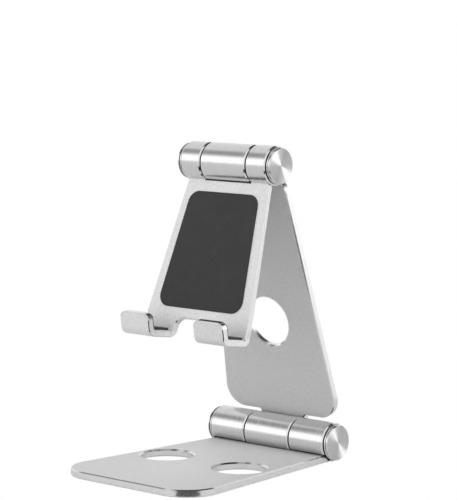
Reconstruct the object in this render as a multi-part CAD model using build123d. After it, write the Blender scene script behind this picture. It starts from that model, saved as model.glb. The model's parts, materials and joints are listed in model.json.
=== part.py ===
from build123d import *
import math
import os

# Folding tablet stand: a flat base, a leaning arm and a tray with two hooks,
# joined by two friction hinges that run along X.
# Millimetres. +Z is up and the user looks from -Y. The origin lies on the
# underside, midway between the two round holes of the base.

# sheet and feet
PLATE_T = 3.0
EDGE_CHAMFER = 0.4
PAD_PROUD = 0.3
PAD_RECESS = 0.7
BOTTOM_Z = PAD_PROUD

# base plate
BASE_FRONT_Y = -46.9
BASE_FRONT_W = 73.0
BASE_HINGE_W = 57.7
BASE_CORNER_R = 14.0
HOLE_R = 10.8
HOLE_CHAMFER = 0.6
HOLE_SPACING = 38.7

# hinges
BARREL_R = 7.85
BARREL_CHAMFER = 0.45
KNUCKLE_HALF = 11.5
GAP = 0.6
SHAFT_R = 3.0
BUSH_R = 4.0
RUN_CLEARANCE = 0.04
POCKET_R = 4.6
SPACER_R = 6.8
CAP_R = 7.2
CAP_PROUD = 2.2
LOWER_HALF = 29.8
UPPER_HALF = 22.0
TONGUE_END = 2.5
EDGE_CLEAR = 8.2
ARM_EDGE_CLEAR = 7.4
BASE_NOTCH = 6.6
SEAM_H = 0.7
SEAM_Y = 5.45

# lower hinge axis
HINGE_Y = 45.9
HINGE_Z = BOTTOM_Z + BARREL_R

# arm
ARM_LEAN = 13.7
ARM_LENGTH = 116.0
ARM_LOW_W = 59.2
ARM_HIGH_W = 39.3
ARM_CORNER_R = 8.6
ARM_TOP_CORNER_R = 5.0
ARM_HOLE_S = 47.2
ARM_HOLE_R = 10.3

# tray and hooks
TRAY_TILT = 19.3
TRAY_TOP_W = 42.0
TRAY_T = 2.8
TRAY_NOTCH_T = 64.5
TRAY_NOTCH_R = 3.5
TRAY_NOTCH_DRAFT = 0.25
TRAY_TONGUE_END = 5.0
HOOK_SPACING = 38.7
HOOK_W = 15.4
HOOK_CORNER_T = 72.3
HOOK_REACH = 12.7
SHELF_DROP = 11.3
LIP_LEAN = 26.7
LIP_TOP_T = 67.0
BACK_BEND_R = 3.3
FRONT_BEND_R = 3.8
INNER_BEND_R = 1.0
HOOK_CHAMFER = 0.3
LIP_CORNER_R = 2.8
LINER_T = 0.9
TRAY_PAD_RECESS = 0.6
TRAY_PAD_PROUD = 0.3

# silicone sheets
BASE_PAD_MARGIN = 4.5
BASE_PAD_FRONT_W = 64.0
BASE_PAD_BACK_Y = 32.0
BASE_PAD_BACK_W = 51.5
BASE_PAD_HOLE_R = 13.4
TRAY_PAD_LOW_W = 44.0
TRAY_PAD_HIGH_W = 35.5
TRAY_PAD_CORNER_R = 5.0

# inside the hinges, measured along the axis from the stand's middle plane
SHAFT_HEAD_R = 4.5
SPRING_R = 4.4
LOWER_POCKET_X = 20.0
LOWER_HEAD_T = 3.0
LOWER_NUT_X = (23.2, 27.2)
LOWER_SHAFT_END = 28.2
UPPER_POCKET_X = 15.6
UPPER_HEAD_T = 2.6
UPPER_NUT_X = (17.4, 20.2)
UPPER_SHAFT_END = 20.7

# screws
SCREW_R = 0.8
SCREW_HEAD_R = 1.5
SCREW_HEAD_H = 1.0
SCREW_Y = 4.6
SCREW_TIP = 2.8
TRAY_SCREW_R = 0.7
TRAY_SCREW_HEAD_R = 1.25
TRAY_SCREW_Y = -6.2
SCREW_SINK = 0.3
BASE_SCREW_X = (15.5, 26.0)
ARM_SCREW_X = (6.5,)
TRAY_SCREW_X = (14.0, 18.6)


# ---------------------------------------------------------------- frames

lean = math.radians(ARM_LEAN)
tilt = math.radians(TRAY_TILT)
lower_axis = Vector(0, HINGE_Y, HINGE_Z)
arm_up = Vector(0, -math.sin(lean), math.cos(lean))
arm_front = Vector(0, -math.cos(lean), -math.sin(lean))
tray_front = Vector(0, -math.cos(tilt), math.sin(tilt))
upper_axis = lower_axis + arm_up * ARM_LENGTH

# Seat frames: x along the hinge, y towards the plate, z towards the face
# of the plate that is flush with the barrel.
base_seat = Plane(origin=lower_axis, x_dir=(1, 0, 0), z_dir=(0, 0, -1))
arm_low_seat = Plane(origin=lower_axis, x_dir=(-1, 0, 0), z_dir=-arm_front)
arm_high_seat = Plane(origin=upper_axis, x_dir=(1, 0, 0), z_dir=-arm_front)
tray_frame = Plane(origin=upper_axis, x_dir=(1, 0, 0), z_dir=tray_front)


# --------------------------------------------------------------- helpers

def rod(x0, x1, radius):
    bar = Cylinder(radius, x1 - x0, align=(Align.CENTER, Align.CENTER, Align.MIN))
    return Pos(x0, 0, 0) * Rot(0, 90, 0) * bar


def ring(x0, x1, outer, inner):
    return rod(x0, x1, outer) - rod(x0 - 1, x1 + 1, inner)


def block(x0, x1, y0, y1, z0, z1):
    solid = Box(x1 - x0, y1 - y0, z1 - z0, align=(Align.MIN, Align.MIN, Align.MIN))
    return Pos(x0, y0, z0) * solid


def post(x, y, z0, z1, radius):
    bar = Cylinder(radius, z1 - z0, align=(Align.CENTER, Align.CENTER, Align.MIN))
    return Pos(x, y, z0) * bar


def trapezoid(y0, w0, y1, w1):
    return make_face(Polyline((-w0 / 2, y0), (w0 / 2, y0), (w1 / 2, y1), (-w1 / 2, y1), close=True))


def rounded(sketch, y, radius):
    """Round the sketch's outer corners that lie at height y."""
    corners = [v for v in sketch.vertices() if abs(v.Y - y) < 0.01]
    return fillet(corners, radius)


def flat_edges(shape, z, low, high):
    """The edges that lie at height z, with their middles between low and high along Y."""
    return [e for e in shape.edges()
            if abs(e.bounding_box().min.Z - z) < 0.001 and abs(e.bounding_box().max.Z - z) < 0.001
            and low < e.center().Y < high]


def hole_bevels(radius, z0, z1):
    """Cutters that bevel both rims of a round hole between z0 and z1."""
    wide = radius + HOLE_CHAMFER + 0.5
    height = HOLE_CHAMFER + 1.0
    low = Pos(0, 0, z0 + HOLE_CHAMFER / 2) * Cone(wide, radius - 0.5, height)
    high = Pos(0, 0, z1 - HOLE_CHAMFER / 2) * Rot(180, 0, 0) * Cone(wide, radius - 0.5, height)
    return low, high


def barrel(x0, x1):
    body = rod(x0, x1, BARREL_R)
    rims = [e for e in body.edges().filter_by(GeomType.CIRCLE)]
    return chamfer(rims, BARREL_CHAMFER)


def both_sides(xs):
    """The same distances on -X and +X, in order."""
    return tuple(-x for x in reversed(xs)) + tuple(xs)


def side_pair(make):
    """Make a piece for +X and its mirror image for -X."""
    right = make()
    left = mirror(right, about=Plane.YZ)
    return left, right


def seat_screws(xs):
    """Screws driven into a barrel from the outer face of its plate."""
    top = BARREL_R - SCREW_SINK
    group = []
    for x in xs:
        head = post(x, SCREW_Y, top - SCREW_HEAD_H, top, SCREW_HEAD_R)
        shank = post(x, SCREW_Y, SCREW_TIP, top - SCREW_HEAD_H, SCREW_R)
        socket = post(x, SCREW_Y, top - 0.6, top + 1, 0.55)
        group.append(head + shank - socket)
    return group


def seat_screw_holes(xs):
    top = BARREL_R - SCREW_SINK
    cutters = []
    for x in xs:
        cutters.append(post(x, SCREW_Y, top - SCREW_HEAD_H, BARREL_R + 1, SCREW_HEAD_R + 0.05))
        cutters.append(post(x, SCREW_Y, SCREW_TIP - 0.1, BARREL_R, SCREW_R + 0.01))
    return cutters


def seated_barrel(x0, x1, bore, screw_xs):
    """A knuckle with a step in which the plate's tongue sits, and a seam above the tongue."""
    body = barrel(x0, x1) - rod(x0 - 1, x1 + 1, bore)
    seat_z = BARREL_R - PLATE_T
    body -= block(x0 - 1, x1 + 1, TONGUE_END, 20, seat_z, 20)
    body -= block(x0 - 1, x1 + 1, SEAM_Y, 20, seat_z - SEAM_H, seat_z + 1)
    for cutter in seat_screw_holes(screw_xs):
        body -= cutter
    return body


def tray_screws(xs):
    group = []
    for x in xs:
        head = post(x, TRAY_SCREW_Y, -4.2, -3.2, TRAY_SCREW_HEAD_R)
        shank = post(x, TRAY_SCREW_Y, -3.2, 3.4, TRAY_SCREW_R)
        socket = post(x, TRAY_SCREW_Y, -5.0, -3.7, 0.5)
        group.append(head + shank - socket)
    return group


def tray_screw_holes(xs):
    cutters = []
    for x in xs:
        cutters.append(post(x, TRAY_SCREW_Y, -8.0, -3.2, TRAY_SCREW_HEAD_R + 0.05))
        cutters.append(post(x, TRAY_SCREW_Y, -3.3, 3.5, TRAY_SCREW_R + 0.01))
    return cutters


def end_cap(half):
    """Plug, flange and head, with a groove under each, on the +X end of a barrel."""
    plug = rod(half - 1.1, half, POCKET_R - 0.02)
    neck = rod(half, half + CAP_PROUD - 0.5, CAP_R - 1.4)
    flange = rod(half + 0.4, half + 1.05, CAP_R)
    flange = chamfer(flange.edges().filter_by(GeomType.CIRCLE), 0.15)
    head = rod(half + 1.4, half + CAP_PROUD, CAP_R)
    outer_rim = head.edges().filter_by(GeomType.CIRCLE).sort_by(Axis.X)[-1]
    head = chamfer(outer_rim, 0.35)
    return plug + neck + flange + head


def disc_springs(x0, count, thick, cone, outer):
    """Conical washers, turned alternately, packed along +X from x0."""
    inner = SHAFT_R + 0.02
    washers = []
    for i in range(count):
        a = x0 + i * (thick + cone)
        near, far = (a, a + cone) if i % 2 == 0 else (a + cone, a)
        profile = make_face(Polyline(
            (near, inner), (near + thick, inner), (far + thick, outer), (far, outer), close=True))
        washers.append(revolve(profile, Axis.X, 360))
    return washers


def lock_nut(x0, x1):
    nut = Pos(x0, 0, 0) * Rot(0, 90, 0) * extrude(RegularPolygon(4.5, 6), x1 - x0)
    return nut - rod(x0 - 1, x1 + 1, SHAFT_R)


def stepped_shaft(head_x0, head_x1, end_x):
    return rod(head_x0, head_x1, SHAFT_HEAD_R) + rod(head_x1, end_x, SHAFT_R)


def write(name, plane, solids):
    """Move a node's solids from their own frame to the part's and save them."""
    if not isinstance(solids, (list, tuple)):
        solids = [solids]
    placed = []
    for item in solids:
        for solid in item.solids():
            placed.append(plane.location * solid)
    shape = placed[0] if len(placed) == 1 else Compound(children=placed)
    export_step(shape, "parts/" + name + ".step")


os.makedirs("parts", exist_ok=True)
world = Plane.XY
outer_start = KNUCKLE_HALF + GAP


# ------------------------------------------------------------------ base

base_end_y = HINGE_Y - TONGUE_END
taper = (BASE_FRONT_W - BASE_HINGE_W) / (HINGE_Y - BASE_FRONT_Y)
tongue_w = BASE_HINGE_W + taper * TONGUE_END


def base_outline():
    outline = trapezoid(BASE_FRONT_Y, BASE_FRONT_W, base_end_y, tongue_w)
    return rounded(outline, BASE_FRONT_Y, BASE_CORNER_R)


base_plate = Pos(0, 0, BOTTOM_Z) * extrude(base_outline(), PLATE_T)
base_plate = chamfer(base_plate.faces().sort_by(Axis.Z)[-1].edges(), EDGE_CHAMFER)
base_plate = chamfer(base_plate.faces().sort_by(Axis.Z)[0].edges(), EDGE_CHAMFER)
# square the tongues again where they run under the barrels
base_plate -= block(-40, 40, base_end_y - 0.5, base_end_y + 1, 0, 10)
base_plate += block(-tongue_w / 2, tongue_w / 2, base_end_y - 0.5, base_end_y, BOTTOM_Z, BOTTOM_Z + PLATE_T)
notch_edge = HINGE_Y - BASE_NOTCH
base_plate -= block(-outer_start, outer_start, notch_edge, HINGE_Y, 0, 10)
for side in (-1, 1):
    x = side * HOLE_SPACING / 2
    base_plate -= post(x, 0, 0, 10, HOLE_R)
    for bevel in hole_bevels(HOLE_R, BOTTOM_Z, BOTTOM_Z + PLATE_T):
        base_plate -= Pos(x, 0, 0) * bevel

pad_front_y = BASE_FRONT_Y + BASE_PAD_MARGIN
pad_outline = trapezoid(pad_front_y, BASE_PAD_FRONT_W, BASE_PAD_BACK_Y, BASE_PAD_BACK_W)
pad_outline = rounded(pad_outline, pad_front_y, 10.0)
pad_outline = rounded(pad_outline, BASE_PAD_BACK_Y, 4.0)
for side in (-1, 1):
    pad_outline -= Pos(side * HOLE_SPACING / 2, 0) * Circle(BASE_PAD_HOLE_R)
base_pad = extrude(pad_outline, PAD_PROUD + PAD_RECESS)
base_plate -= base_pad

base_screw_xs = both_sides(BASE_SCREW_X)
base_screw_cutters = [base_seat.location * c for c in seat_screw_holes(base_screw_xs)]
for cutter in base_screw_cutters:
    base_plate -= cutter

write("base_plate", world, base_plate)
write("base_pad", world, base_pad)
write("base_screws", base_seat, seat_screws(base_screw_xs))


# ----------------------------------------------------------- lower hinge

def lower_outer():
    body = seated_barrel(outer_start, LOWER_HALF, SHAFT_R + 0.01, BASE_SCREW_X)
    return body - rod(LOWER_POCKET_X, LOWER_HALF + 1, POCKET_R)


lower_left, lower_right = side_pair(lower_outer)
write("lower_barrel_left", base_seat, lower_left)
write("lower_barrel_right", base_seat, lower_right)
lower_head = -LOWER_POCKET_X - LOWER_HEAD_T
write("lower_shaft", base_seat, stepped_shaft(lower_head, -LOWER_POCKET_X, LOWER_SHAFT_END))
write("lower_disc_springs", base_seat, disc_springs(LOWER_POCKET_X, 4, 0.5, 0.3, SPRING_R))
write("lower_lock_nut", base_seat, lock_nut(*LOWER_NUT_X))
cap_left, cap_right = side_pair(lambda: end_cap(LOWER_HALF))
write("lower_cap_left", base_seat, cap_left)
write("lower_cap_right", base_seat, cap_right)
spacer_left, spacer_right = side_pair(
    lambda: ring(KNUCKLE_HALF + RUN_CLEARANCE, outer_start, SPACER_R, SHAFT_R + 0.02))
write("lower_spacer_left", base_seat, spacer_left)
write("lower_spacer_right", base_seat, spacer_right)


def bushes():
    left, right = side_pair(lambda: ring(3.5, KNUCKLE_HALF, BUSH_R, SHAFT_R + RUN_CLEARANCE))
    return [left, right]


write("lower_bushes", arm_low_seat, bushes())
write("upper_bushes", arm_high_seat, bushes())


# ------------------------------------------------------------------- arm

# In the lower seat frame the plate starts ARM_EDGE_CLEAR above the hinge.
arm_face_z = BARREL_R - PLATE_T
arm_top = ARM_LENGTH - EDGE_CLEAR
arm_outline = trapezoid(ARM_EDGE_CLEAR, ARM_LOW_W, arm_top, ARM_HIGH_W)
arm_outline = rounded(arm_outline, ARM_EDGE_CLEAR, ARM_CORNER_R)
arm_outline = rounded(arm_outline, arm_top, ARM_TOP_CORNER_R)
neck = 2 * KNUCKLE_HALF
for y0, y1 in ((TONGUE_END, ARM_EDGE_CLEAR + 3), (arm_top - 3, ARM_LENGTH - TONGUE_END)):
    arm_outline += trapezoid(y0, neck, y1, neck)
arm_outline = fillet(
    [v for v in arm_outline.vertices()
     if abs(abs(v.X) - KNUCKLE_HALF) < 0.01
     and (abs(v.Y - ARM_EDGE_CLEAR) < 0.01 or abs(v.Y - arm_top) < 0.01)], 1.0)

arm_plate = Pos(0, 0, arm_face_z) * extrude(arm_outline, PLATE_T)
# bevel the outer edges but not the two tongues
for z in (arm_face_z, BARREL_R):
    arm_plate = chamfer(flat_edges(arm_plate, z, ARM_EDGE_CLEAR - 0.1, arm_top + 0.1), EDGE_CHAMFER)
arm_plate -= post(0, ARM_HOLE_S, 0, 20, ARM_HOLE_R)
for bevel in hole_bevels(ARM_HOLE_R, arm_face_z, BARREL_R):
    arm_plate -= Pos(0, ARM_HOLE_S, 0) * bevel
arm_screw_xs = both_sides(ARM_SCREW_X)
for cutter in seat_screw_holes(arm_screw_xs):
    arm_plate -= cutter
    flipped = mirror(cutter, about=Plane.XZ)
    arm_plate -= Pos(0, ARM_LENGTH, 0) * flipped

write("arm_plate", arm_low_seat, arm_plate)
write("arm_lower_barrel", arm_low_seat, seated_barrel(-KNUCKLE_HALF, KNUCKLE_HALF, BUSH_R, arm_screw_xs))
write("arm_upper_barrel", arm_high_seat, seated_barrel(-KNUCKLE_HALF, KNUCKLE_HALF, BUSH_R, arm_screw_xs))
write("arm_lower_screws", arm_low_seat, seat_screws(arm_screw_xs))
write("arm_upper_screws", arm_high_seat, seat_screws(arm_screw_xs))


# ------------------------------------------------------------------ tray

# In the tray frame y runs up the tray from the hinge and z to its front.
half_t = TRAY_T / 2
hook_x = HOOK_SPACING / 2
tray_low_w = HOOK_SPACING + HOOK_W
notch_low_w = HOOK_SPACING - HOOK_W
notch_top_y = -TRAY_NOTCH_T
leg_low_y = -HOOK_CORNER_T + BACK_BEND_R
draft_y = leg_low_y - BACK_BEND_R - 0.3


def notch_width(y):
    """The gap between the two legs, which narrows a little up the tray."""
    return notch_low_w - 2 * TRAY_NOTCH_DRAFT * (y - draft_y)


tray_outline = trapezoid(leg_low_y + 3.0, tray_low_w, -EDGE_CLEAR, TRAY_TOP_W)
tray_outline += trapezoid(leg_low_y, tray_low_w, leg_low_y + 3.0, tray_low_w)
tray_outline -= trapezoid(leg_low_y - 1, notch_width(leg_low_y - 1), notch_top_y, notch_width(notch_top_y))
inner_corners = [v for v in tray_outline.vertices() if abs(v.Y - notch_top_y) < 0.01 and abs(v.X) < hook_x]
tray_outline = fillet(inner_corners, TRAY_NOTCH_R)
tray_plate = Pos(0, 0, -half_t) * extrude(tray_outline, TRAY_T)


for z in (-half_t, half_t):
    tray_plate = chamfer(flat_edges(tray_plate, z, leg_low_y + 0.1, -EDGE_CLEAR - 0.1), EDGE_CHAMFER)

# tongues into the slots of the two barrels
tongue_outer = UPPER_HALF - 1.4
for x0, x1 in ((-tongue_outer, -outer_start), (outer_start, tongue_outer)):
    tray_plate += block(x0, x1, -EDGE_CLEAR - 2, -TRAY_TONGUE_END, -half_t, half_t)

# The hook's side view: down the back of the leg, along the shelf, up the lip.
drop = math.radians(SHELF_DROP)
lip_lean = math.radians(LIP_LEAN)
shelf_out = Vector(-math.sin(drop), math.cos(drop))
shelf_up = Vector(math.cos(drop), math.sin(drop))
lip_up = Vector(math.cos(lip_lean), math.sin(lip_lean))
lip_back = Vector(math.sin(lip_lean), -math.cos(lip_lean))
back_corner = Vector(-HOOK_CORNER_T, -half_t)
front_corner = back_corner + shelf_out * ((HOOK_REACH + half_t) / math.cos(drop))
lip_top = front_corner + lip_up * ((-LIP_TOP_T - front_corner.X) / math.cos(lip_lean))


def crossing(p, along, q, other):
    """Where the line through p meets the line through q."""
    span = q - p
    reach = (span.X * other.Y - span.Y * other.X) / (along.X * other.Y - along.Y * other.X)
    return p + along * reach


def shelf_corners(inset):
    """The shelf's two corners on a line that lies inset above its underside."""
    near = back_corner + shelf_up * inset
    lip_line = front_corner + lip_back * inset
    tray_line = Vector(0, -half_t + min(inset, TRAY_T))
    return crossing(near, shelf_out, tray_line, Vector(1, 0)), crossing(near, shelf_out, lip_line, lip_up)


inner_back, inner_front = shelf_corners(TRAY_T)


def corner_at(sketch, point):
    return [v for v in sketch.vertices() if abs(v.X - point.X) < 0.01 and abs(v.Y - point.Y) < 0.01]


def side_view(*points):
    return make_face(Polyline(*[(p.X, p.Y) for p in points], close=True))


def bar(profile, width):
    """A side view given in (y, z), stretched along X about its middle."""
    return Rot(0, 90, 0) * Rot(0, 0, 90) * Pos(0, 0, -width / 2) * extrude(profile, width)


hook_profile = side_view(
    Vector(leg_low_y, -half_t), back_corner, front_corner, lip_top, lip_top + lip_back * TRAY_T,
    inner_front, inner_back, Vector(leg_low_y, half_t))
for point, radius in ((back_corner, BACK_BEND_R * 0.98), (front_corner, FRONT_BEND_R),
                      (inner_front, INNER_BEND_R), (inner_back, INNER_BEND_R * 0.9)):
    hook_profile = fillet(corner_at(hook_profile, point), radius)


def hook():
    """One J-shaped hook, bent from the tray's own sheet, with an open lip."""
    body = bar(hook_profile, HOOK_W)
    top = lip_top.X - 0.01
    corners = [e for e in body.edges().filter_by(GeomType.LINE)
               if e.center().Y > top and e.center().Z > HOOK_REACH
               and abs(abs(e.center().X) - HOOK_W / 2) < 0.01]
    body = fillet(corners, LIP_CORNER_R)
    ends = body.faces().filter_by(Axis.X)
    rim = [e for face in ends for e in face.edges()
           if e.center().Y < leg_low_y - 0.01 or e.center().Z > half_t + 0.1]
    return chamfer(rim, HOOK_CHAMFER)


def gusset():
    """The leg's inner edge runs out over the bend with the draft of the notch."""
    top = leg_low_y + 0.05
    wall = notch_low_w / 2 - hook_x
    low = draft_y + 0.2
    wedge = make_face(Polyline(
        (wall - (notch_low_w - notch_width(low)) / 2, low), (wall + 1.0, low), (wall + 1.0, top),
        (wall - (notch_low_w - notch_width(top)) / 2, top), close=True))
    wedge = Pos(0, 0, -half_t) * extrude(wedge, TRAY_T)
    return bar(hook_profile, HOOK_W + 6.0) & wedge


def hook_liner():
    """Soft lining on the shelf and on the back of the lip."""
    width = HOOK_W - 1.6
    high = lip_top + lip_back * TRAY_T - lip_up * 1.0
    # the corner is cut back to clear the round of the bend
    profile = side_view(
        inner_back + shelf_out * 0.9, inner_front - shelf_out * 1.1, inner_front + lip_up * 1.1, high,
        high + lip_back * LINER_T, shelf_corners(TRAY_T + LINER_T)[1],
        inner_back + shelf_out * 0.9 + shelf_up * LINER_T)
    profile = fillet(corner_at(profile, shelf_corners(TRAY_T + LINER_T)[1]), 0.6)
    body = bar(profile, width)
    corners = [e for e in body.edges().filter_by(GeomType.LINE)
               if e.center().Y > high.X - 0.01 and abs(abs(e.center().X) - width / 2) < 0.01]
    return fillet(corners, 1.8)


right_side = Pos(hook_x, 0, 0) * (hook() + gusset())
tray_plate += right_side
tray_plate += mirror(right_side, about=Plane.YZ)

pad_low = notch_top_y + 4.0
pad_high = -EDGE_CLEAR - 4.5
tray_pad_outline = trapezoid(pad_low, TRAY_PAD_LOW_W, pad_high, TRAY_PAD_HIGH_W)
tray_pad_outline = rounded(tray_pad_outline, pad_low, TRAY_PAD_CORNER_R)
tray_pad_outline = rounded(tray_pad_outline, pad_high, TRAY_PAD_CORNER_R)
tray_pad = Pos(0, 0, half_t - TRAY_PAD_RECESS) * extrude(tray_pad_outline, TRAY_PAD_RECESS + TRAY_PAD_PROUD)
tray_plate -= tray_pad

tray_screw_xs = both_sides(TRAY_SCREW_X)
for cutter in tray_screw_holes(tray_screw_xs):
    tray_plate -= cutter

write("tray_plate", tray_frame, tray_plate)
write("tray_pad", tray_frame, tray_pad)
write("hook_liner_left", tray_frame, Pos(-hook_x, 0, 0) * hook_liner())
write("hook_liner_right", tray_frame, Pos(hook_x, 0, 0) * hook_liner())
write("tray_screws", tray_frame, tray_screws(tray_screw_xs))


# ----------------------------------------------------------- upper hinge

def upper_outer():
    body = barrel(outer_start, UPPER_HALF) - rod(outer_start - 1, UPPER_HALF + 1, SHAFT_R + 0.01)
    body -= rod(UPPER_POCKET_X, UPPER_HALF + 1, POCKET_R)
    body -= block(outer_start - 1, tongue_outer, -20, -TRAY_TONGUE_END, -half_t, half_t)
    for cutter in tray_screw_holes(TRAY_SCREW_X):
        body -= cutter
    return body


upper_left, upper_right = side_pair(upper_outer)
write("tray_barrel_left", tray_frame, upper_left)
write("tray_barrel_right", tray_frame, upper_right)
upper_head = -UPPER_POCKET_X - UPPER_HEAD_T
write("upper_shaft", tray_frame, stepped_shaft(upper_head, -UPPER_POCKET_X, UPPER_SHAFT_END))
write("upper_disc_springs", tray_frame, disc_springs(UPPER_POCKET_X, 3, 0.4, 0.2, SPRING_R))
write("upper_lock_nut", tray_frame, lock_nut(*UPPER_NUT_X))
cap_left, cap_right = side_pair(lambda: end_cap(UPPER_HALF))
write("upper_cap_left", tray_frame, cap_left)
write("upper_cap_right", tray_frame, cap_right)
spacer_left, spacer_right = side_pair(
    lambda: ring(KNUCKLE_HALF + RUN_CLEARANCE, outer_start, SPACER_R, SHAFT_R + 0.02))
write("upper_spacer_left", tray_frame, spacer_left)
write("upper_spacer_right", tray_frame, spacer_right)
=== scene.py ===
import bpy
import json
import math
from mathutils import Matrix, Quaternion, Vector


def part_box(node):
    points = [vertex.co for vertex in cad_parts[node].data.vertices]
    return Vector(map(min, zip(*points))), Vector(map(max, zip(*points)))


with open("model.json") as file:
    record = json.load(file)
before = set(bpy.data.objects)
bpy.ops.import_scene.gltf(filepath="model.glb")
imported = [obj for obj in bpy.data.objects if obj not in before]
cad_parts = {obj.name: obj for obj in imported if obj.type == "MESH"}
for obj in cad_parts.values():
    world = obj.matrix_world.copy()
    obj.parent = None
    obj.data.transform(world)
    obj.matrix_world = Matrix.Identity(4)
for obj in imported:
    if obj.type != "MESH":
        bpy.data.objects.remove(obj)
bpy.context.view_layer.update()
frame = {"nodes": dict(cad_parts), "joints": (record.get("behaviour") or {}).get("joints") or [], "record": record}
nodes = frame["nodes"]
record = frame["record"]
joints = {joint["name"]: joint for joint in frame["joints"]}
mounts = {mount["name"]: mount for mount in record["mounts"]}
scene = bpy.context.scene

MM = 0.001
X_AXIS = Vector((1, 0, 0))
UP = Vector((0, 0, 1))
lower_axis = Vector(joints["arm_tilt"]["pos_m"])
upper_axis = Vector(joints["tray_tilt"]["pos_m"])
tray_front = Vector(mounts["tablet_back_rest"]["axis"]).normalized()
tray_up = tray_front.cross(X_AXIS).normalized()
arm_up = (upper_axis - lower_axis).normalized()
arm_front = X_AXIS.cross(arm_up).normalized()

# brightness and tint of the metals
LEVEL = 0.72
BASE_LEVEL = 0.82
# painted shade: the arm is the same anodised metal as base and tray, given a darker colour for shade on it
ARM_SHADED_LEVEL = 0.64
TRAY_LEVEL = 0.83
WALL_LEVEL = 0.84
TINT = (1.0, 0.997, 1.004)
# share of a blasted sheet's shine that is metallic, and its roughness
BLASTED_MIRROR = 0.27
BLASTED_ROUGH = 0.5

# the values between which a noise texture mostly stays
NOISE_SPAN = (0.3, 0.7)
# share of a circle by which a reflection's stretch is turned from the tangent round the axis
GROOVE_TURN = 0.25
# painted shade: a barrel's colour darkens where other surfaces come this near, by this share at most
CREVICE_REACH = 5.0 * MM
CREVICE_DEPTH = 0.6
# open share of the surroundings at which the darkening is full, and at which it ends
CREVICE_SPAN = (0.25, 0.8)
CREVICE_SAMPLES = 12

# a surface's slot goes by the cosine between its direction and the sheet's normal or the hinge's axis
FACE_LEAN = 0.9
WALL_LEAN = 0.3
BEVEL_LEAN = 0.4
# barrel skin whose cosine to straight out is below this lies in the seam by the plate or in a recess, and gets
# painted shadow
SEAM_LEAN = 0.985
# below this height from the upper hinge the tray bends into its hooks
HOOK_START = -69.0 * MM
# how far in from a cap's radius its side reaches, and from its outer end its face
CAP_SIDE_DEPTH = 1.0 * MM
CAP_FACE_DEPTH = 0.1 * MM

FLOOR_HALF = 30.0
FLOOR_TONE = 0.85
FLOOR_GLOW = 0.13
# the flag card: how far its near and far edges lie past the corner, and their half widths
FLAG_EDGES = ((-4 * MM, 7 * MM), (260 * MM, 150 * MM))
FLAG_HEIGHT = 0.3 * MM

# radiance of the studio, and the sines of elevation between which each part gives way
HORIZON = 1.05
WALL = 0.95
CEILING = 0.85
ZENITH = 0.04
HORIZON_EDGE = (0.03, 0.07)
CEILING_EDGE = (0.42, 0.72)
ZENITH_EDGE = (0.86, 0.95)
# azimuth, elevation, half width, half height, softness (degrees), radiance
PANELS = (
    (-43, 13, 38, 8, 12, 1.45),
    (-60, 41, 10, 5, 9, 0.25),
    (167, 66, 24, 20, 6, 0.04),
    (166, 11, 19, 8, 3, 0.03),
    (119, 14, 10, 9, 4, 4.8),
)
# cosines from a panel's aim: it fades in up to the first, and its division stops at the second
PANEL_BACK = 0.05
PANEL_LEAST = 0.02

CAMERA_TARGET = Vector((-0.027, 0.0459, 0.0818))
CAMERA_YAW = 41.1
CAMERA_PITCH = 6.4
CAMERA_ROLL = 0.2
CAMERA_DISTANCE = 0.93
CAMERA_LENS = 160.9
SENSOR_WIDTH = 36.0
CLIP_START = 0.01
CLIP_END = 50.0


# ------------------------------------------------------------ node helpers

class Graph:
    """Builds a material's node tree with short calls."""

    def __init__(self, name):
        self.material = bpy.data.materials.new(name)
        self.material.use_nodes = True
        self.tree = self.material.node_tree
        self.tree.nodes.clear()
        self.output = self.add("ShaderNodeOutputMaterial")
        self.shader = self.add("ShaderNodeBsdfPrincipled")
        self.link(self.shader.outputs[0], self.output.inputs["Surface"])
        self.coord = self.add("ShaderNodeTexCoord").outputs["Object"]

    def add(self, kind, **values):
        node = self.tree.nodes.new(kind)
        for key, value in values.items():
            setattr(node, key, value)
        return node

    def link(self, source, target):
        """Link a socket to the target, or set the target to a plain value."""
        if hasattr(source, "is_linked"):
            self.tree.links.new(source, target)
        else:
            target.default_value = source

    def set(self, **values):
        for key, value in values.items():
            self.link(value, self.shader.inputs[key.replace("_", " ")])

    def math(self, operation, a, b=0.0):
        node = self.add("ShaderNodeMath", operation=operation)
        self.link(a, node.inputs[0])
        self.link(b, node.inputs[1])
        return node.outputs[0]

    def vector(self, operation, a, b=(0, 0, 0)):
        node = self.add("ShaderNodeVectorMath", operation=operation)
        self.link(a, node.inputs[0])
        self.link(b, node.inputs[1])
        return node.outputs["Value"] if operation in ("LENGTH", "DOT_PRODUCT") else node.outputs[0]

    def scaled(self, scale):
        return self.vector("MULTIPLY", self.coord, scale)

    def noise(self, vector, scale, detail, rough=0.5):
        node = self.add("ShaderNodeTexNoise")
        self.link(vector, node.inputs["Vector"])
        node.inputs["Scale"].default_value = scale
        node.inputs["Detail"].default_value = detail
        node.inputs["Roughness"].default_value = rough
        return node.outputs["Fac"]

    def remap(self, value, low, high, new_low, new_high):
        node = self.add("ShaderNodeMapRange")
        self.link(value, node.inputs["Value"])
        for name, number in zip(("From Min", "From Max", "To Min", "To Max"), (low, high, new_low, new_high)):
            self.link(number, node.inputs[name])
        return node.outputs["Result"]

    def swing(self, noise, amount):
        """A noise turned into a change of up to amount either way."""
        return self.remap(noise, *NOISE_SPAN, -amount, amount)

    def grey(self, value, tint=(1.0, 1.0, 1.0)):
        node = self.add("ShaderNodeCombineColor")
        for socket, share in zip(node.inputs, tint):
            self.link(self.math("MULTIPLY", value, share), socket)
        return node.outputs[0]

    def bump(self, height, strength, distance):
        node = self.add("ShaderNodeBump")
        self.link(height, node.inputs["Height"])
        node.inputs["Strength"].default_value = strength
        node.inputs["Distance"].default_value = distance
        return node.outputs["Normal"]


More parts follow.
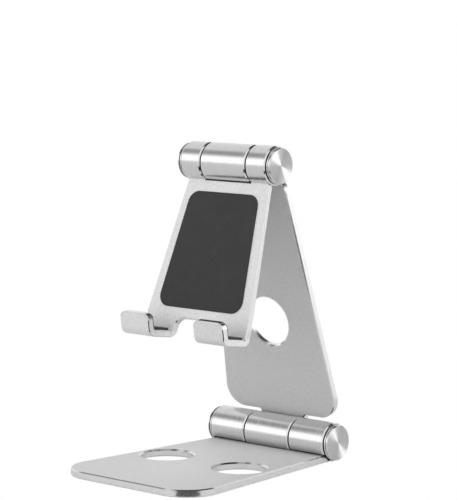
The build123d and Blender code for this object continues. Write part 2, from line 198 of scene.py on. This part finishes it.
def painted_crevice_shade(graph, tone):
    """Painted shade: darken a colour where other surfaces crowd it."""
    near = graph.add("ShaderNodeAmbientOcclusion", samples=CREVICE_SAMPLES)
    near.inputs["Distance"].default_value = CREVICE_REACH
    shade = graph.remap(near.outputs["AO"], *CREVICE_SPAN, 1.0 - CREVICE_DEPTH, 1.0)
    return graph.math("MULTIPLY", tone, shade)


def groove_round_axis(graph, strength):
    """Stretch reflections across fine grooves that run round the hinge's axis."""
    tangent = graph.add("ShaderNodeTangent", direction_type="RADIAL", axis="X").outputs[0]
    graph.set(Anisotropic=strength, Anisotropic_Rotation=GROOVE_TURN, Tangent=tangent)


# --------------------------------------------------------------- materials

def blasted_metal(name, level, speckle):
    """Bead-blasted and anodised sheet: fine even grain, part mirror and part matt scatter."""
    g = Graph(name)
    grain = g.noise(g.coord, scale=1300, detail=4, rough=0.75)
    fine = g.noise(g.coord, scale=9000, detail=2)
    cloud = g.noise(g.coord, scale=28, detail=3)
    clouding = g.remap(cloud, 0.35, 0.65, -0.012, 0.012)
    tone = g.math("ADD", g.swing(grain, speckle), clouding)
    g.set(Base_Color=g.grey(g.math("ADD", level, tone), TINT), Metallic=BLASTED_MIRROR)
    g.set(Roughness=g.math("ADD", BLASTED_ROUGH, g.swing(grain, 0.05)))
    height = g.math("ADD", grain, g.math("MULTIPLY", fine, 0.6))
    g.set(Normal=g.bump(height, strength=0.35, distance=0.00004))
    return g.material


def milled_edge(name, level, rough):
    """Cut walls and bevels: smoother and brighter than the faces, with fine level streaks."""
    g = Graph(name)
    streak = g.noise(g.scaled((1, 1, 14)), scale=900, detail=3)
    grain = g.noise(g.coord, scale=4000, detail=2)
    tone = g.math("ADD", level, g.swing(streak, 0.02))
    g.set(Base_Color=g.grey(tone, TINT), Metallic=1.0)
    g.set(Roughness=g.math("ADD", rough, g.swing(grain, 0.04)))
    g.set(Normal=g.bump(g.math("ADD", streak, grain), strength=0.12, distance=0.00003))
    return g.material


def turned_metal(name, level, rough):
    """Turned barrel: fine rings round the axis, so highlights spread along it, and painted shade where other
    surfaces come near.
    """
    g = Graph(name)
    ring = g.noise(g.scaled((1, 0.02, 0.02)), scale=4200, detail=3, rough=0.7)
    coarse = g.noise(g.scaled((1, 0.05, 0.05)), scale=900, detail=3, rough=0.6)
    grain = g.noise(g.coord, scale=2600, detail=4, rough=0.65)
    tone = g.math("ADD", g.swing(ring, 0.06), g.swing(grain, 0.06))
    # painted shade: the barrel's colour darkens near other surfaces
    tone = painted_crevice_shade(g, g.math("ADD", level, tone))
    g.set(Base_Color=g.grey(tone, TINT), Metallic=1.0)
    g.set(Roughness=g.math("ADD", rough, g.swing(coarse, 0.03)))
    groove_round_axis(g, strength=0.6)
    height = g.math("ADD", ring, g.math("MULTIPLY", grain, 1.1))
    g.set(Normal=g.bump(height, strength=0.22, distance=0.00003))
    return g.material


def spun_metal(name, level, rough, centre):
    """Cap face turned in circles: its grooves fan the studio's reflections out."""
    g = Graph(name)
    offset = g.vector("SUBTRACT", g.coord, tuple(centre))
    radius = g.vector("LENGTH", g.vector("MULTIPLY", offset, (0, 1, 1)))
    texture = g.add("ShaderNodeTexNoise", noise_dimensions="1D")
    g.link(radius, texture.inputs["W"])
    texture.inputs["Scale"].default_value = 9000
    texture.inputs["Detail"].default_value = 3
    rings = texture.outputs["Fac"]
    g.set(Base_Color=g.grey(g.math("ADD", level, g.swing(rings, 0.03)), TINT), Metallic=1.0)
    g.set(Roughness=g.math("ADD", rough, g.swing(rings, 0.03)))
    groove_round_axis(g, strength=1.0)
    g.set(Normal=g.bump(rings, strength=0.08, distance=0.00002))
    return g.material


def machined_steel(name, level, rough, tint=TINT):
    """Plain machined metal of the screws, shafts, springs, nuts and bushes."""
    g = Graph(name)
    grain = g.noise(g.coord, scale=3500, detail=4, rough=0.6)
    patch = g.noise(g.coord, scale=350, detail=3)
    tone = g.math("ADD", g.swing(grain, 0.03), g.swing(patch, 0.02))
    g.set(Base_Color=g.grey(g.math("ADD", level, tone), tint), Metallic=1.0)
    g.set(Roughness=g.math("ADD", rough, g.swing(patch, 0.05)))
    g.set(Normal=g.bump(grain, strength=0.15, distance=0.00003))
    return g.material


def silicone(name, level):
    """Dark moulded silicone with a dull, slightly dusty skin; near black, the same recipe also gives the painted
    shadow in the barrels' seams and the painted shade in the caps' grooves.
    """
    g = Graph(name)
    grain = g.noise(g.coord, scale=2200, detail=4, rough=0.6)
    dust = g.noise(g.coord, scale=160, detail=4, rough=0.55)
    tone = g.math("ADD", g.swing(grain, 0.006), g.remap(dust, 0.4, 0.75, -0.004, 0.012))
    g.set(Base_Color=g.grey(g.math("ADD", level, tone), (1.0, 1.0, 1.02)), Metallic=0.0)
    g.set(Roughness=g.remap(dust, *NOISE_SPAN, 0.62, 0.78))
    g.set(Specular_IOR_Level=0.4, Sheen_Weight=0.15, Sheen_Roughness=0.4)
    g.set(Normal=g.bump(grain, strength=0.3, distance=0.00005))
    return g.material


plate_face = blasted_metal("plate_blasted", BASE_LEVEL, speckle=0.07)
# painted shade: the arm's sheet is darker than the other plates
arm_shaded_face = blasted_metal("arm_blasted_painted_shade", ARM_SHADED_LEVEL, speckle=0.06)
tray_face = blasted_metal("tray_blasted", TRAY_LEVEL, speckle=0.12)
plate_wall = milled_edge("plate_wall", WALL_LEVEL, rough=0.26)
plate_bevel = milled_edge("plate_bevel", LEVEL + 0.05, rough=0.16)
barrel_turned = turned_metal("barrel_turned", LEVEL + 0.03, rough=0.25)
barrel_bevel = milled_edge("barrel_bevel", LEVEL + 0.1, rough=0.14)
# painted shadow: near black, from the silicone recipe, for barrel faces in the seam by the plate and in recesses
seam_shadow = silicone("seam_painted_shadow", level=0.004)
steel = machined_steel("hinge_steel", level=0.42, rough=0.3)
screw_steel = machined_steel("screw_steel", level=0.42, rough=0.28)
bronze = machined_steel("bush_bronze", level=0.45, rough=0.38, tint=(1.0, 0.72, 0.4))
rubber = silicone("grey_silicone", level=0.035)
washer = silicone("black_washer", level=0.01)
cap_side = milled_edge("cap_side", LEVEL, rough=0.2)
# painted shade: near black for the cap's groove and inner faces
cap_groove_shade = silicone("cap_recess_painted_shade", level=0.006)


# ------------------------------------------------------------------- paint

def paint(node, *materials):
    """Put materials on a CAD node's slots; the first one covers it all."""
    mesh = nodes[node].data
    mesh.materials.clear()
    for material in materials:
        mesh.materials.append(material)
    for polygon in mesh.polygons:
        polygon.material_index = 0
    return mesh


def sheet_slot(lean):
    """Slot of a sheet's surface: 0 for a face, 1 for a wall, 2 for a bevel."""
    if lean < WALL_LEAN:
        return 1
    return 2 if lean < FACE_LEAN else 0


def paint_plate(node, normal, face):
    """Blasted faces, milled walls and bright bevels."""
    mesh = paint(node, face, plate_wall, plate_bevel)
    for polygon in mesh.polygons:
        polygon.material_index = sheet_slot(abs(polygon.normal.dot(normal)))


def paint_tray():
    """As the other plates, but the hooks are blasted on their bends and sides too."""
    mesh = paint("tray_plate", tray_face, plate_wall, plate_bevel)
    for polygon in mesh.polygons:
        height = (polygon.center - upper_axis).dot(tray_up)
        side = abs(polygon.normal.x)
        if height > HOOK_START:
            polygon.material_index = sheet_slot(abs(polygon.normal.dot(tray_front)))
        elif BEVEL_LEAN < side <= FACE_LEAN:
            polygon.material_index = 2


def paint_barrel(node, axis):
    """Turned skin, bright end bevels, and painted shadow in black inside the seam by the plate and in recesses."""
    mesh = paint(node, barrel_turned, barrel_bevel, seam_shadow)
    for polygon in mesh.polygons:
        out = polygon.center - axis
        out.x = 0.0
        side = abs(polygon.normal.x)
        if BEVEL_LEAN < side < FACE_LEAN:
            polygon.material_index = 1
        # painted shadow on barrel faces that don't face straight out
        elif side < BEVEL_LEAN and polygon.normal.dot(out.normalized()) < SEAM_LEAN:
            polygon.material_index = 2


def paint_cap(node):
    """Spun outer face, bright side, and painted shade in black on everything further in."""
    low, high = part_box(node)
    centre = (low + high) / 2
    face = spun_metal(node + "_face", LEVEL - 0.04, rough=0.32, centre=centre)
    mesh = paint(node, face, cap_side, cap_groove_shade)
    rim = (high.z - low.z) / 2 - CAP_SIDE_DEPTH
    outer = max(low.x, high.x, key=abs)
    for polygon in mesh.polygons:
        out = polygon.center - centre
        out.x = 0.0
        if abs(polygon.normal.x) > FACE_LEAN:
            polygon.material_index = 0 if abs(polygon.center.x - outer) < CAP_FACE_DEPTH else 2
        else:
            polygon.material_index = 1 if out.length > rim else 2


paint_plate("base_plate", UP, plate_face)
paint_plate("arm_plate", arm_front, arm_shaded_face)
paint_tray()
for node in ("lower_barrel_left", "lower_barrel_right", "arm_lower_barrel"):
    paint_barrel(node, lower_axis)
for node in ("arm_upper_barrel", "tray_barrel_left", "tray_barrel_right"):
    paint_barrel(node, upper_axis)
for node in ("lower_cap_left", "lower_cap_right", "upper_cap_left", "upper_cap_right"):
    paint_cap(node)
for node in ("base_screws", "arm_lower_screws", "arm_upper_screws", "tray_screws"):
    paint(node, screw_steel)
for node in ("lower_shaft", "upper_shaft", "lower_disc_springs", "upper_disc_springs",
             "lower_lock_nut", "upper_lock_nut"):
    paint(node, steel)
for node in ("lower_bushes", "upper_bushes"):
    paint(node, bronze)
for node in ("lower_spacer_left", "lower_spacer_right", "upper_spacer_left", "upper_spacer_right"):
    paint(node, washer)
for node in ("base_pad", "tray_pad", "hook_liner_left", "hook_liner_right"):
    paint(node, rubber)


# ------------------------------------------------------------------- stage

def direction(azimuth, elevation):
    """Unit vector; azimuth 0 looks along -Y, and turns towards +X."""
    a, e = math.radians(azimuth), math.radians(elevation)
    return Vector((math.sin(a) * math.cos(e), -math.cos(a) * math.cos(e), math.sin(e)))


def flat_stage(name, corners, material):
    """A flat four-cornered piece of the studio."""
    mesh = bpy.data.meshes.new(name)
    mesh.from_pydata(corners, [], [(0, 1, 2, 3)])
    mesh.materials.append(material)
    piece = bpy.data.objects.new(name, mesh)
    scene.collection.objects.link(piece)
    return piece


def make_floor():
    """White to camera rays; a plain pale table with a little glow to all other rays."""
    g = Graph("floor_white")
    cloud = g.noise(g.coord, scale=3, detail=2)
    g.set(Base_Color=g.grey(g.remap(cloud, *NOISE_SPAN, FLOOR_TONE - 0.01, FLOOR_TONE + 0.01)))
    g.set(Roughness=0.9, Specular_IOR_Level=0.1)
    g.set(Emission_Color=(1, 1, 1, 1), Emission_Strength=FLOOR_GLOW)
    white = g.add("ShaderNodeEmission")
    mix = g.add("ShaderNodeMixShader")
    g.link(g.add("ShaderNodeLightPath").outputs["Is Camera Ray"], mix.inputs[0])
    g.link(g.shader.outputs[0], mix.inputs[1])
    g.link(white.outputs[0], mix.inputs[2])
    g.link(mix.outputs[0], g.output.inputs["Surface"])
    half = FLOOR_HALF
    flat_stage("floor", [(-half, -half, 0), (half, -half, 0), (half, half, 0), (-half, half, 0)], g.material)


def make_flag():
    """A black card on the table before the base's front right corner, seen only in reflections."""
    low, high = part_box("base_plate")
    ahead = direction(CAMERA_YAW, 0)
    across = UP.cross(ahead)
    corner = Vector((high.x, low.y, FLAG_HEIGHT))
    (near, near_half), (far, far_half) = FLAG_EDGES
    corners = [corner + ahead * near - across * near_half, corner + ahead * near + across * near_half,
               corner + ahead * far + across * far_half, corner + ahead * far - across * far_half]
    g = Graph("flag_black")
    weave = g.noise(g.coord, scale=900, detail=2)
    g.set(Base_Color=g.grey(g.remap(weave, *NOISE_SPAN, 0.008, 0.016)))
    g.set(Roughness=0.95, Specular_IOR_Level=0.1)
    flat_stage("flag", corners, g.material).visible_camera = False


class World(Graph):
    """The studio round the object: bright walls, a dark zenith and a few soft panels."""

    def __init__(self):
        world = bpy.data.worlds.new("studio")
        world.use_nodes = True
        self.tree = world.node_tree
        self.tree.nodes.clear()
        self.output = self.add("ShaderNodeOutputWorld")
        self.coord = self.add("ShaderNodeTexCoord").outputs["Generated"]
        scene.world = world

    def smooth(self, value, low, high, new_low, new_high):
        result = self.remap(value, low, high, new_low, new_high)
        result.node.interpolation_type = "SMOOTHSTEP"
        return result

    def blend(self, mask, a, b):
        return self.math("ADD", a, self.math("MULTIPLY", mask, self.math("SUBTRACT", b, a)))

    def panel(self, azimuth, elevation, width, height, soft):
        """1 inside a rectangle that faces the object, 0 outside; sizes are half angles."""
        aim = direction(azimuth, elevation)
        across = aim.cross(UP).normalized()
        upward = across.cross(aim)
        ahead = self.vector("DOT_PRODUCT", self.coord, tuple(aim))
        mask = self.remap(ahead, 0.0, PANEL_BACK, 0.0, 1.0)
        for side, half in ((across, width), (upward, height)):
            reach = self.math("DIVIDE", self.vector("DOT_PRODUCT", self.coord, tuple(side)),
                              self.math("MAXIMUM", ahead, PANEL_LEAST))
            edge = math.tan(math.radians(half))
            fade = math.tan(math.radians(half + soft))
            inside = self.smooth(self.math("ABSOLUTE", reach), edge, fade, 1.0, 0.0)
            mask = self.math("MULTIPLY", mask, inside)
        return mask


def make_world():
    """Walls, ceiling and zenith first, then the panels, and the bright horizon over them all."""
    world = World()
    rise = world.vector("DOT_PRODUCT", world.coord, (0, 0, 1))
    level = world.blend(world.smooth(rise, *CEILING_EDGE, 0.0, 1.0), WALL, CEILING)
    level = world.blend(world.smooth(rise, *ZENITH_EDGE, 0.0, 1.0), level, ZENITH)
    for azimuth, elevation, width, height, soft, radiance in PANELS:
        level = world.blend(world.panel(azimuth, elevation, width, height, soft), level, radiance)
    level = world.blend(world.smooth(rise, *HORIZON_EDGE, 1.0, 0.0), level, HORIZON)
    background = world.add("ShaderNodeBackground")
    world.link(world.grey(level), background.inputs["Color"])
    world.link(background.outputs[0], world.output.inputs["Surface"])


def make_camera():
    data = bpy.data.cameras.new("camera")
    data.lens = CAMERA_LENS
    data.sensor_width = SENSOR_WIDTH
    data.clip_start = CLIP_START
    data.clip_end = CLIP_END
    camera = bpy.data.objects.new("camera", data)
    scene.collection.objects.link(camera)
    back = direction(CAMERA_YAW, CAMERA_PITCH)
    camera.location = CAMERA_TARGET + back * CAMERA_DISTANCE
    camera.rotation_mode = "QUATERNION"
    roll = Quaternion((0, 0, 1), math.radians(CAMERA_ROLL))
    camera.rotation_quaternion = (-back).to_track_quat("-Z", "Y") @ roll
    scene.camera = camera


make_floor()
make_flag()
make_world()
make_camera()
scene.view_settings.view_transform = "Standard"
